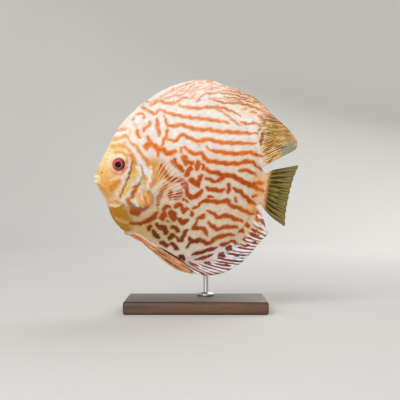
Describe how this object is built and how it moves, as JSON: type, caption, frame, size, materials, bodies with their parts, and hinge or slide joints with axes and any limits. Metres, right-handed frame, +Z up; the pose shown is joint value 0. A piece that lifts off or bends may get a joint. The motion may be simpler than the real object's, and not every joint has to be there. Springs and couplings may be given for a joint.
{
  "type": "discus fish display model",
  "caption": "Life-size still model of a striped orange and white discus fish, seen from its left side, held by a rod over a flat display base.",
  "frame": {"origin": "centre of the underside of the display base, on the surface that the model stands on", "axes": "+Z up, -X towards the fish's head, -Y towards its left side, which the picture shows"},
  "size_m": [0.1639, 0.068, 0.1845],
  "materials": {
    "head_skin": "satin painted skin, pale yellow and orange",
    "body_skin": "satin painted skin with fine scales, orange stripes on near white",
    "eye": "clear gloss over a red iris and black pupil",
    "dorsal_fin_skin": "satin, striped at the foot and golden at the rear",
    "anal_fin_skin": "satin, lilac white and red brown streaks",
    "tail_fin_skin": "satin golden olive with dark rays and a clear edge",
    "clear_fin_skin": "nearly clear web with pale rays",
    "pelvic_fin_skin": "satin salmon pink and tan",
    "base_wood": "dark satin walnut",
    "rod_steel": "brushed"
  },
  "bodies": {
    "root": {"head": "head_skin", "torso": "body_skin", "tail_root": "body_skin", "eye_left": "eye", "eye_right": "eye", "gill_cover_left": "head_skin", "gill_cover_right": "head_skin", "dorsal_fin": "dorsal_fin_skin", "anal_fin": "anal_fin_skin", "tail_fin": "tail_fin_skin", "pectoral_fin_left": "clear_fin_skin", "pectoral_fin_right": "clear_fin_skin", "pelvic_fin_left": "pelvic_fin_skin", "pelvic_fin_right": "pelvic_fin_skin", "stand_base": "base_wood", "stand_rod": "rod_steel", "stand_arm": "rod_steel"}
  },
  "joints": []
}
